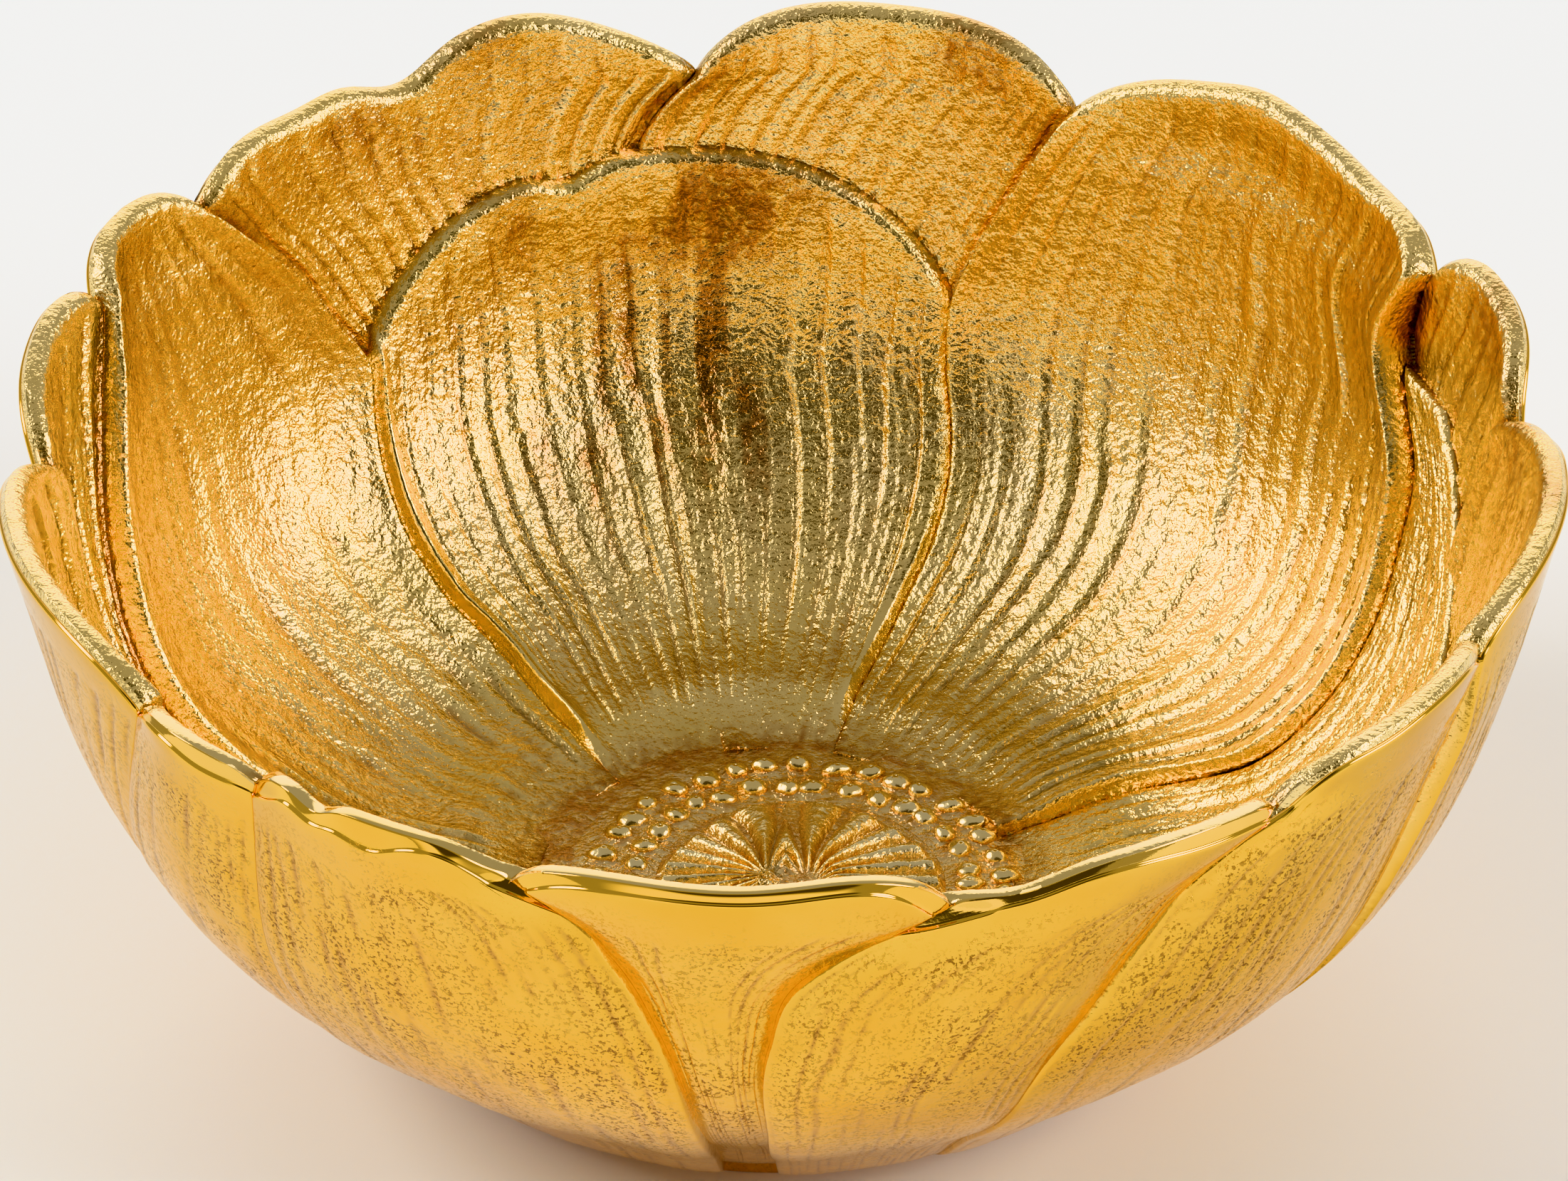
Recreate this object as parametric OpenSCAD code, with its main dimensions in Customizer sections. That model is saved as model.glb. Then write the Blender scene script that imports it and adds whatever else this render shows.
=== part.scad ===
// Small cast bowl in the form of an open flower: thirteen rim petals round a beaded heart,
// two shorter petals laid over them on the inside, and a low ring foot.
// Origin: centre of the foot's resting face. +Z up, the tallest inner petal lies towards +Y.

/* [Bowl] */
// Radius of the circle through the notches between the rim petals
rim_radius = 68; // [50:1:100]
// Height of the ring foot
foot_height = 3.2; // [2.5:0.1:4.5]
// Outer radius of the ring foot
foot_radius = 33.4; // [32:0.2:34]
// Radial width of the ring foot
foot_width = 4.2; // [3:0.1:6]
// How far the floor's underside is raised above the foot's top face
floor_recess = 1; // [0:0.1:1.4]

/* [Wall] */
// Height of the wall's centre line at the floor
floor_centre_height = 6.06; // [5.6:0.1:7]
// Wall thickness low down
low_thickness = 3.4; // [2.8:0.1:4]
// Wall thickness at the rim
rim_thickness = 2.6; // [2:0.1:3]
// Slope of the lower wall, in degrees
lower_slope = 38; // [34:1:42]
// Slope of the upper wall, in degrees
upper_slope = 76; // [70:1:82]

/* [Petals] */
// How far each petal's middle bows outwards at the rim
petal_bow = 1.7; // [0:0.1:2.5]
// How far the long inner petals stand proud of the others on the inside
petal_step = 1.1; // [0.4:0.1:1.5]
// Depth of the hollow along the middle of each petal
petal_hollow = 0.7; // [0:0.1:1]
// Thickness of the shorter petal laid over the back of the bowl
overlay_thickness = 1.8; // [1.4:0.1:2.4]
// Thickness of the shorter petal that shows beside the long right one
side_overlay_thickness = 0.9; // [0.6:0.1:1.2]

/* [Flower heart] */
// Offset of the heart's centre from the bowl's axis
heart_offset = 2.2; // [0:0.1:3]
// Radius of the ribbed centre
heart_radius = 13.2; // [10:0.1:14]
// Height of the ribbed centre above the floor
heart_height = 1.5; // [0.8:0.1:2.5]
// Number of ribs on the centre
rib_count = 28; // [16:1:36]
// Radius of one bead
bead_radius = 0.9; // [0.6:0.05:1]
// Beads in the inner of the two rows
inner_beads = 34; // [20:1:40]
// Beads in the outer of the two rows
outer_beads = 38; // [20:1:44]

/* [Hidden] */

gold = [0.86, 0.64, 0.22];
bright_gold = [0.93, 0.74, 0.30];
warm_gold = [0.80, 0.55, 0.18];
pale_gold = [0.90, 0.72, 0.36];

// The wall is laid out along an arc: s runs up the wall's centre line from the axis, in
// millimetres on a bowl of 68 mm rim radius, and h is the distance from that line,
// positive towards the inside. Seam and petal outlines below use the same s.
layout_radius = 68;
to_size = rim_radius / layout_radius;

arc_step = 1;
arc_end = 108;
lower_bend = [24, 24];    // start and length of the bend from floor to lower wall
upper_bend = [47, 38];    // start and length of the bend from lower to upper wall
petal_root = 24;          // where the petals leave the floor
seat_end = 33;            // the petals' undersides are flat on the foot up to here
heel_depth = 2;           // extra metal on the outside, just above the foot
heel_length = 8;
straight_end = 84;        // rows of points run level up to here, then follow the rim

columns = 10;
overlay_columns = 14;
overlay_rows = 12;
level_rows = [24, 28.5, 33, 37, 41, 46, 51, 57, 63, 70, 77];
rim_rows = [0, 0.35, 0.62, 0.82, 0.94, 1];

// Seams between neighbouring petals, as [s, azimuth] pairs from the rim to the floor.
// The first pair is the notch in the rim. Azimuth is in degrees, anticlockwise from +X.
seam_a = [[94, 97], [92, 99], [88, 101.5], [80, 103], [24, 103]];
seam_b = [[95, 143], [88.5, 138.5], [83.8, 135], [79, 132.8], [72.5, 130], [68, 131],
    [60, 132.6], [54, 133.2], [48, 132.8], [44, 131.3], [24, 131.4]];
seam_c = [[95, 158], [90, 161], [85, 163.8], [80, 166.8], [74.5, 169.5], [68, 173], [60, 176],
    [45, 178], [24, 178]];
seam_d = [[90, 176.5], [84, 177.8], [76, 179.5], [60, 183], [24, 188]];
seam_e = [[95, 215.5], [85, 211], [60, 201], [24, 194]];
seam_f = [[95.2, 228.5], [85, 227], [60, 225], [24, 223]];
seam_g = [[94.6, 250.4], [92, 254.5], [87, 257.7], [79, 260.7], [61, 263.5], [40, 263.5], [24, 262]];
seam_h = [[93.6, 282.8], [90, 276.5], [86, 272.4], [77, 269.6], [62, 269.5], [40, 270.5], [24, 272]];
seam_i = [[94.6, 309.5], [91, 303.5], [85, 299], [78, 295.5], [70, 292], [60, 291], [24, 294]];
seam_j = [[95.3, 335], [86, 331.5], [80, 329], [60, 324], [24, 322]];
seam_k = [[92, 369.5], [84, 371.4], [78, 371], [60, 365], [24, 362]];
seam_l = [[95, 387.5], [87, 388.3], [82.6, 385.2], [79, 381.9], [72.7, 379.4], [63.4, 375.2],
    [55, 372.4], [47, 372.4], [41, 377], [36, 381], [24, 381.5]];
seam_m = [[93.5, 426], [85.6, 429.6], [79, 432.5], [73, 434.4], [66, 434], [60, 432.4],
    [55, 431.5], [48, 431.5], [43, 432.6], [24, 436.3]];

// The upper edge of the inner back petal, with its shallow nick.
back_tip = 87;
back_shoulder = 72.6;
back_nick = [0.61, 0.05, -1.6];

// The right-hand edge of the petal that shows beside the long right one.
side_edge = [[86, 20.5], [83, 16], [76.6, 8.8], [73, 3.8], [66, -5], [58, -12], [45, -18], [24, -21]];
side_tip = 85.8;

function ease(x) = let (c = min(1, max(0, x))) c * c * (3 - 2 * c);
function mix(a, b, t) = a + (b - a) * t;
function bump(u, b) = b[2] * exp(-pow((u - b[0]) / b[1], 2));
function bumps(u, list, i = 0) = i >= len(list) ? 0 : bump(u, list[i]) + bumps(u, list, i + 1);
function arch(u, roundness) = pow(max(0, 1 - pow(abs(2 * u - 1), roundness)), 0.78);
function flipped(pairs) = [for (i = [len(pairs) - 1:-1:0]) pairs[i]];
function along(pairs, s) = lookup(s, flipped(pairs));
function turned(pairs) = [for (p = pairs) [p[0], p[1] - 360]];

function wall_slope(s) = lower_slope * ease((s - lower_bend[0]) / lower_bend[1])
    + (upper_slope - lower_slope) * ease((s - upper_bend[0]) / upper_bend[1]);
centre_line = [for (s = 0, r = 0, z = floor_centre_height; s <= arc_end;
    r = r + arc_step * cos(wall_slope(s + arc_step / 2)),
    z = z + arc_step * sin(wall_slope(s + arc_step / 2)),
    s = s + arc_step) [s, r, z]];
centre_radius = [for (p = centre_line) [p[0], p[1]]];
centre_height = [for (p = centre_line) [p[0], p[2]]];

function thickness(s) = mix(low_thickness, rim_thickness, min(1, max(0, (s - 40) / 50)));
function heel(s) = heel_depth * exp(-pow((s - seat_end) / heel_length, 2));
function wall_point(azimuth, s, h) = let (
    slope = wall_slope(s),
    r = lookup(s, centre_radius) - h * sin(slope),
    z = lookup(s, centre_height) + h * cos(slope)
) to_size * [r * cos(azimuth), r * sin(azimuth), z];

// Underside of the wall: flat where it sits on the foot, an even skin above it.
seat_top = foot_height / to_size;
function seat_reach(s) = (foot_radius / to_size - lookup(seat_end, centre_radius))
    * ease((s - petal_root) / (seat_end - petal_root));
function outer_point(azimuth, s, h) = s > seat_end
    ? wall_point(azimuth, s, h)
    : let (r = lookup(s, centre_radius) + seat_reach(s))
      to_size * [r * cos(azimuth), r * sin(azimuth), seat_top];

function rim_round(w) = w < 0.8 ? 1 : sqrt(1 - pow((w - 0.8) / 0.24, 2));

// A closed solid from rows of points, each row an inner face and an outer face.
function quad(a, b, c, d) = [[a, b, c], [a, c, d]];
module lofted_solid(inner, outer) {
    rows = len(inner) - 1;
    last = len(inner[0]) - 1;
    width = last + 1;
    total = width * (rows + 1);
    function in_id(j, i) = j * width + i;
    function out_id(j, i) = total + j * width + i;
    faces = [
        for (j = [0:rows - 1], i = [0:last - 1])
            each quad(in_id(j, i), in_id(j, i + 1), in_id(j + 1, i + 1), in_id(j + 1, i)),
        for (j = [0:rows - 1], i = [0:last - 1])
            each quad(out_id(j, i), out_id(j + 1, i), out_id(j + 1, i + 1), out_id(j, i + 1)),
        for (j = [0:rows - 1])
            each quad(in_id(j, 0), in_id(j + 1, 0), out_id(j + 1, 0), out_id(j, 0)),
        for (j = [0:rows - 1])
            each quad(in_id(j, last), out_id(j, last), out_id(j + 1, last), in_id(j + 1, last)),
        for (i = [0:last - 1])
            each quad(in_id(0, i), out_id(0, i), out_id(0, i + 1), in_id(0, i + 1)),
        for (i = [0:last - 1])
            each quad(in_id(rows, i + 1), out_id(rows, i + 1), out_id(rows, i), in_id(rows, i))
    ];
    polyhedron(
        points = concat([for (row = inner) each row], [for (row = outer) each row]),
        faces = faces
    );
}

// One petal of the rim between two seams. lobe is how far its edge rises above the notches,
// step how far its inside stands proud, waves a list of [place, width, height] along the edge,
// and covered is true where another petal lies on its inside, which is then left plain.
module rim_petal(right_seam, left_seam, lobe, roundness = 3, waves = [], step = 0, covered = false) {
    function edge(u) = mix(right_seam[0][0], left_seam[0][0], u) + lobe * arch(u, roundness)
        + bumps(u, waves);
    function row_s(j, u) = j < len(level_rows)
        ? level_rows[j]
        : mix(straight_end, edge(u), rim_rows[j - len(level_rows)]);
    function row_round(j) = j < len(level_rows) ? 1 : rim_round(rim_rows[j - len(level_rows)]);
    function bow(u, s) = petal_bow * pow(2 * u - 1, 2) * ease(covered ? (s - 87) / 10 : (s - 55) / 42);
    function hollow(u, s) = covered ? 0
        : petal_hollow * arch(u, 2) * ease((s - 26) / 14) * (1 - ease((s - 85) / 12));
    function proud(s) = step * ease((s - petal_root) / 6) * (1 - ease((s - 88) / 8));
    rows = len(level_rows) + len(rim_rows) - 1;
    grid = [for (j = [0:rows]) [for (i = [0:columns])
        let (u = i / columns, s = row_s(j, u))
        [mix(along(right_seam, s), along(left_seam, s), u), s, u, row_round(j) * thickness(s) / 2]]];
    inner = [for (row = grid) [for (p = row)
        wall_point(p[0], p[1], p[3] + bow(p[2], p[1]) + proud(p[1]) - hollow(p[2], p[1]))]];
    outer = [for (row = grid) [for (p = row)
        outer_point(p[0], p[1], bow(p[2], p[1]) - p[3] - heel(p[1]))]];
    lofted_solid(inner, outer);
}

module petal_back_right() { color(gold) rim_petal(turned(seam_m), seam_a, 6.6, covered = true); }
module petal_back_left() {
    color(warm_gold)
    rim_petal(seam_a, seam_b, 6, waves = [[0.28, 0.13, 1.3], [0.53, 0.09, -3], [0.72, 0.12, -1.6]],
        covered = true);
}
module petal_rear_left() { color(bright_gold) rim_petal(seam_b, seam_c, 4, step = petal_step); }
module petal_left_narrow() { color(warm_gold) rim_petal(seam_c, seam_d, 4.6); }
module petal_left() { color(gold) rim_petal(seam_d, seam_e, 6.5); }
module petal_front_left() { color(pale_gold) rim_petal(seam_e, seam_f, 2.8, roundness = 2); }
module petal_front_left_notched() {
    color(bright_gold) rim_petal(seam_f, seam_g, 4, waves = [[0.3, 0.09, -1.6], [0.92, 0.1, -0.8]]);
}
module petal_front_tucked() {
    color(warm_gold) rim_petal(seam_g, seam_h, 4, roundness = 4, waves = [[0.8, 0.2, 1.4]]);
}
module petal_front_right_broad() {
    color(gold) rim_petal(seam_h, seam_i, 3.6, roundness = 2, waves = [[0.2, 0.14, -1.2]]);
}
module petal_front_right() { color(pale_gold) rim_petal(seam_i, seam_j, 4.4); }
module petal_right() { color(warm_gold) rim_petal(seam_j, seam_k, 5.4, roundness = 2.4, covered = true); }
module petal_right_narrow() { color(gold) rim_petal(seam_k, seam_l, 5.6, covered = true); }
module petal_rear_right() {
    color(bright_gold)
    rim_petal(seam_l, seam_m, 6, waves = [[0.27, 0.16, -1.8], [0.6, 0.1, 0.7]], step = petal_step);
}

// A shorter petal lying on the inside of the wall between two edges, thick by height above it.
module overlay_petal(right_edge, left_edge, height, tips) {
    rows = overlay_rows;
    function row_s(j, u) = mix(petal_root, tips(u), j / rows);
    grid = [for (j = [0:rows]) [for (i = [0:overlay_columns])
        let (u = i / overlay_columns, s = row_s(j, u))
        [mix(along(right_edge, s), along(left_edge, s), u), s, thickness(s) / 2, u, j / rows]]];
    inner = [for (row = grid) [for (p = row)
        wall_point(p[0], p[1], p[2] + height * overlay_profile(p[3], p[4]))]];
    outer = [for (row = grid) [for (p = row) wall_point(p[0], p[1], p[2])]];
    lofted_solid(inner, outer);
}
// Full height along the edges, a little lower in the dished middle, rounded off at the tip.
function overlay_profile(u, v) = (1 - 0.3 * arch(u, 2) * ease(v / 0.3)) * (v > 0.99 ? 0.5 : 1);

module inner_petal_back() {
    right_edge = [for (p = turned(seam_m)) if (p[0] <= 73) p];
    left_edge = [for (p = seam_b) if (p[0] <= 72.5) p];
    tips = function (u) back_shoulder + (back_tip - back_shoulder) * arch(u, 2.5) + bump(u, back_nick);
    color(bright_gold) overlay_petal(right_edge, left_edge, overlay_thickness, tips);
}

module inner_petal_right() {
    color(pale_gold)
    overlay_petal(side_edge, turned(seam_l), side_overlay_thickness, function (u) side_tip);
}

module foot_ring() {
    color(warm_gold)
    rotate_extrude($fn = 96)
    translate([foot_radius - foot_width, 0])
    square([foot_width, foot_height]);
}

floor_radius = to_size * lookup(petal_root, centre_radius);
floor_top = to_size * (floor_centre_height + low_thickness / 2);

module bowl_floor() {
    underside = foot_height + floor_recess;
    color(gold)
    rotate_extrude($fn = 96)
    translate([0, underside])
    square([floor_radius, floor_top - underside]);
}

// Ribbed centre: a low dome whose edge is scalloped by ribs that run in to its crown.
module flower_centre() {
    around = 4 * rib_count;
    rings = [1, 0.82, 0.6, 0.4, 0.22];
    function rib(a) = 0.5 + 0.5 * cos(a * rib_count);
    function dome(f) = heart_height * (0.45 + 0.55 * (1 - f * f));
    points = concat(
        [for (i = [0:around - 1]) let (a = 360 * i / around)
            [heart_radius * cos(a), heart_radius * sin(a), 0]],
        [for (f = rings, i = [0:around - 1]) let (a = 360 * i / around)
            [heart_radius * f * cos(a), heart_radius * f * sin(a),
             dome(f) - heart_height * 0.25 * (1 - rib(a)) * f]],
        [[0, 0, dome(0)], [0, 0, 0]]
    );
    crown = around * (len(rings) + 1);
    faces = concat(
        [for (k = [0:len(rings) - 1], i = [0:around - 1]) let (n = (i + 1) % around)
            [k * around + i, (k + 1) * around + i, (k + 1) * around + n]],
        [for (k = [0:len(rings) - 1], i = [0:around - 1]) let (n = (i + 1) % around)
            [k * around + i, (k + 1) * around + n, k * around + n]],
        [for (i = [0:around - 1]) [len(rings) * around + i, crown, len(rings) * around + (i + 1) % around]],
        [for (i = [0:around - 1]) [i, (i + 1) % around, crown + 1]]
    );
    color(pale_gold)
    translate([heart_offset, 0, floor_top])
    polyhedron(points = points, faces = faces);
}

// Two staggered rows of round stamen heads, standing on the floor round the centre.
module stamen_beads() {
    module bead() {
        rotate_extrude($fn = 24)
        intersection() {
            translate([0, bead_radius * 0.3]) circle(bead_radius, $fn = 24);
            square([2 * bead_radius, 2 * bead_radius]);
        }
    }
    module bead_row(count, row_radius, turn) {
        for (i = [0:count - 1])
            rotate(360 * (i + turn) / count)
            translate([row_radius, 0, 0])
            bead();
    }
    color(bright_gold)
    translate([heart_offset, 0, floor_top]) {
        bead_row(inner_beads, heart_radius + 2.2, 0);
        bead_row(outer_beads, heart_radius + 5.4, 0.5);
    }
}

foot_ring();
bowl_floor();
flower_centre();
stamen_beads();
petal_back_right();
petal_back_left();
petal_rear_left();
petal_left_narrow();
petal_left();
petal_front_left();
petal_front_left_notched();
petal_front_tucked();
petal_front_right_broad();
petal_front_right();
petal_right();
petal_right_narrow();
petal_rear_right();
inner_petal_back();
inner_petal_right();
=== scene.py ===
"""Looks of the flower bowl: a cast gold-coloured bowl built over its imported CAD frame."""

import math

import bpy
import numpy as np
from mathutils import Matrix, Vector


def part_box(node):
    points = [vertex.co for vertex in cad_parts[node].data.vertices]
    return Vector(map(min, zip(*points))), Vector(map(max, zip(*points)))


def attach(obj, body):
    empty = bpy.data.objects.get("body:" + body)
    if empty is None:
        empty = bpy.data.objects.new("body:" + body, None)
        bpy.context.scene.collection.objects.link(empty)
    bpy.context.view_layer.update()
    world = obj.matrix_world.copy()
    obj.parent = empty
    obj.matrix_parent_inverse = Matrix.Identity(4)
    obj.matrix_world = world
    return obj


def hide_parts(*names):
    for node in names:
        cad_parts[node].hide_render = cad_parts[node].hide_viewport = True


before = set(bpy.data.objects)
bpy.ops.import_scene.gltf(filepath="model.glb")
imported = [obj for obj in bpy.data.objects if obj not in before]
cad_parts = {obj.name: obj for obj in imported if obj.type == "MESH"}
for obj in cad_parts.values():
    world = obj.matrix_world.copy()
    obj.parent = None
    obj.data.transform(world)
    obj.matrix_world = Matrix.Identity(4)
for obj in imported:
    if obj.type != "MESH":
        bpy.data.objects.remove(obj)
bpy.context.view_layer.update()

# ---------------------------------------------------------------- driving sizes, from the frame

# Everything below is laid out in millimetres on a bowl of 68 mm rim radius, whose foot is
# 33.4 mm in radius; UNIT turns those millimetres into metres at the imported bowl's size.
RIM_RADIUS = 68
FOOT_RADIUS = 33.4
foot_low, foot_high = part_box("foot_ring")
floor_low, floor_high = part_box("bowl_floor")
heart_low, heart_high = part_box("flower_centre")
beads_low, beads_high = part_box("stamen_beads")
UNIT = (foot_high.x - foot_low.x) / 2 / FOOT_RADIUS

FOOT_HEIGHT = foot_high.z / UNIT
FOOT_WIDTH = 4.2
FLOOR_TOP = floor_high.z / UNIT
FLOOR_UNDERSIDE = floor_low.z / UNIT
FLOOR_RADIUS = floor_high.x / UNIT
HEART_X = (heart_high.x + heart_low.x) / 2 / UNIT
HEART_RADIUS = (heart_high.x - heart_low.x) / 2 / UNIT
HEART_HEIGHT = (heart_high.z - heart_low.z) / UNIT
RIBS = 11                              # in each half of the flower's centre
BEAD_HEIGHT = 1.3                      # of a CAD bead, in radii
BEAD_RADIUS = (beads_high.z - beads_low.z) / BEAD_HEIGHT / UNIT
INNER_BEADS = 34                       # in the row nearer the flower's centre,
INNER_GAP = 2.2                        # and how far that row is from the ribs
OUTER_BEADS = 38
OUTER_GAP = 5.4

# The wall: s runs up its centre line from the axis, h is the distance from that line,
# positive towards the inside. Each bend is where it starts and how long it is, in terms of s.
LOW_THICKNESS = 3.4
RIM_THICKNESS = 2.6
LOWER_SLOPE = 38
UPPER_SLOPE = 76
LOWER_BEND = (24, 24)
UPPER_BEND = (47, 38)
PETAL_ROOT = 24                        # where the petals start
INSIDE_ROOT = 21.6                     # how far their inside skin reaches in over the floor
SEAT_END = 33                          # where they leave the foot, on the outside
HEEL_DEPTH = 3.2
HEEL_LENGTH = 8
PETAL_BOW = 1.7
PETAL_STEP = 1.1
PETAL_HOLLOW = 0.7
OVERLAY_SINK = 0.7                     # how deep the inner petals sit in the wall

# The cast detail.
GRID = 0.34     # spacing of the mesh's points
LIP_DEPTH = 5                          # how far down from the rim its closer rows reach
FACE_ROWS = 3                          # of those rows: up the outside face,
CORNER_ROWS = 5                        # round the outer corner
FACET_ROWS = 6                         # and over the ground top
LIP_ROWS = FACE_ROWS + CORNER_ROWS + FACET_ROWS
HEEL_ROWS = 8                          # under a petal, from its root to its outside face
INNER_ROUNDING = 1.4
CORNER_RADIUS = 0.3                    # of the crisp edge between the rim's top and its outside
CREST = -0.4                           # the crest of the rim, across the wall's thickness

# ---------------------------------------------------------------- small maths


def ease(x):
    """0 below x = 0 and 1 above x = 1, with a smooth rise between."""
    c = np.clip(x, 0, 1)
    return c * c * (3 - 2 * c)


def mix(a, b, t):
    """a where t is 0, b where t is 1."""
    return a + (b - a) * t


def gauss(x, centre, width):
    """A smooth bump, 1 at its centre."""
    return np.exp(-(((x - centre) / width) ** 2))


def arch(u, roundness):
    """An arch over u = 0 to 1, flatter on top and steeper at its ends as roundness grows."""
    return np.maximum(0, 1 - np.abs(2 * u - 1) ** roundness) ** 0.78


def quarter_round(x):
    """0 at x = 0, rising along a quarter circle to 1 at x = 1."""
    c = 1 - np.clip(x, 0, 1)
    return np.sqrt(1 - c**2)


def with_bumps(values, bumps, u):
    """Values along a petal's edge with (place, width, height) bumps added."""
    for centre, width, height in bumps:
        values = values + height * gauss(u, centre, width)
    return values


def lattice(ix, iy, seed):
    """A repeatable value from 0 to 1 for each cell of a grid."""
    n = (ix * 374761393 + iy * 668265263 + seed * 1274126177) & 0xFFFFFFFF
    n = ((n ^ (n >> 13)) * 1274126177) & 0xFFFFFFFF
    return ((n ^ (n >> 16)) & 0xFFFF) / 65535.0


def noise(x, y, seed):
    """Smooth noise from -1 to 1 with cells one unit wide."""
    x, y = np.broadcast_arrays(x, y)
    ix = np.floor(x).astype(np.int64)
    iy = np.floor(y).astype(np.int64)
    tx = ease(x - ix)
    ty = ease(y - iy)
    low = mix(lattice(ix, iy, seed), lattice(ix + 1, iy, seed), tx)
    high = mix(lattice(ix, iy + 1, seed), lattice(ix + 1, iy + 1, seed), tx)
    return 2 * mix(low, high, ty) - 1


def smooth_through(pairs, x):
    """A smooth curve through (position, value) pairs, level beyond its two ends."""
    points = np.array(sorted(pairs), float)
    place = points[:, 0]
    value = points[:, 1]
    slope = np.gradient(value, place)
    x = np.clip(x, place[0], place[-1])
    i = np.clip(np.searchsorted(place, x) - 1, 0, len(place) - 2)
    width = place[i + 1] - place[i]
    t = (x - place[i]) / width
    start = value[i] * (1 + 2 * t) * (1 - t) ** 2 + slope[i] * width * t * (1 - t) ** 2
    end = value[i + 1] * t * t * (3 - 2 * t) + slope[i + 1] * width * t * t * (t - 1)
    return start + end


# ---------------------------------------------------------------- the wall


def wall_slope(s):
    """How steep the wall's centre line is, in radians."""
    lower = LOWER_SLOPE * ease((s - LOWER_BEND[0]) / LOWER_BEND[1])
    upper = (UPPER_SLOPE - LOWER_SLOPE) * ease((s - UPPER_BEND[0]) / UPPER_BEND[1])
    return np.radians(lower + upper)


# The centre line's radius and height at every millimetre of s.
ARC = np.arange(0, 109)
ARC_SLOPE = wall_slope(ARC[:-1] + 0.5)
ARC_RADIUS = np.concatenate([[0], np.cumsum(np.cos(ARC_SLOPE))])
ARC_HEIGHT = FLOOR_TOP - LOW_THICKNESS / 2 + np.concatenate([[0], np.cumsum(np.sin(ARC_SLOPE))])


def arc_radius(s):
    """How far the wall's centre line is from the axis."""
    return np.interp(s, ARC, ARC_RADIUS)


def thickness(s):
    """How thick the wall is."""
    return mix(LOW_THICKNESS, RIM_THICKNESS, np.clip((s - 40) / 50, 0, 1))


def wall_point(azimuth, s, h):
    """Points in millimetres; azimuth is in degrees."""
    slope = wall_slope(s)
    r = arc_radius(s) - h * np.sin(slope)
    z = np.interp(s, ARC, ARC_HEIGHT) + h * np.cos(slope)
    turn = np.radians(azimuth)
    return np.stack([r * np.cos(turn), r * np.sin(turn), z], axis=-1)


# ---------------------------------------------------------------- seams and petals

# Seams between neighbouring petals as (s, azimuth) pairs; the first pair is the rim's notch.
SEAM_A = [(94, 97), (92, 99), (88, 101.5), (80, 103), (24, 103)]
SEAM_B = [(95, 143), (88.5, 138.5), (83.8, 135), (79, 132.8), (72.5, 130), (68, 131),
          (60, 132.6), (54, 133.2), (48, 132.8), (44, 131.3), (24, 131.4)]
SEAM_C = [(95, 158), (90, 161), (85, 163.8), (80, 166.8), (74.5, 169.5), (68, 173),
          (60, 176), (45, 178), (24, 178)]
SEAM_D = [(90, 176.5), (84, 177.8), (76, 179.5), (60, 183), (24, 188)]
SEAM_E = [(95, 215.5), (85, 211), (60, 201), (24, 194)]
SEAM_F = [(95.2, 228.5), (85, 227), (60, 225), (24, 223)]
SEAM_G = [(94.6, 250.4), (92, 254.5), (87, 257.7), (79, 260.7), (61, 263.5), (40, 263.5), (24, 262)]
SEAM_H = [(93.6, 282.8), (90, 276.5), (86, 272.4), (77, 269.6), (62, 269.5), (40, 270.5), (24, 272)]
SEAM_I = [(94.6, 309.5), (91, 303.5), (85, 299), (78, 295.5), (70, 292), (60, 291), (24, 294)]
SEAM_J = [(95.3, 335), (86, 331.5), (80, 329), (60, 324), (24, 322)]
SEAM_K = [(92, 369.5), (84, 371.4), (78, 371), (60, 365), (24, 362)]
SEAM_L = [(95, 387.5), (87, 388.3), (82.6, 385.2), (79, 381.9), (72.7, 379.4), (63.4, 375.2),
          (55, 372.4), (47, 372.4), (41, 377), (36, 381), (24, 381.5)]
SEAM_M = [(93.5, 426), (85.6, 429.6), (79, 432.5), (73, 434.4), (66, 434), (60, 432.4),
          (55, 431.5), (48, 431.5), (43, 432.6), (24, 436.3)]
SIDE_EDGE = [(86, 20.5), (83, 16), (76.6, 8.8), (73, 3.8), (66, -5), (58, -12), (45, -18), (24, -21)]
BACK_TIP = 87
BACK_SHOULDER = 72.6
SIDE_TIP = 85.8


def turned(pairs):
    """The same seam, seen one full turn back."""
    return [(s, azimuth - 360) for s, azimuth in pairs]


# Each rim petal has its right and left seam, and then:
# lobe, roundness, waves: how far its edge rises above its notches, how square it is, its bumps;
# step, cup, tuck: how far its inside stands proud, its inside dips, its outside sits back;
# covered: whether an inner petal lies over it;
# inside, outside: the heights of the rolled edges along the right and the left seam, negative
# where the neighbour lies over it;
# veins, lean: how many there are across it, and to which side they drop;
# bevels, shine: bumps in how far its ground top falls outwards, and how polished that top is.
def petal(right, left, lobe, roundness=3, waves=(), step=0, covered=False,
          inside=(0, 0), outside=(0, 0), cup=0, veins=12, lean=1, tuck=0, bevels=(), shine=0.0):
    return dict(right=right, left=left, lobe=lobe, roundness=roundness, waves=waves, step=step,
                covered=covered, inside=inside, outside=outside, cup=cup, veins=veins, lean=lean,
                tuck=tuck, bevels=bevels, shine=shine)


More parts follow.
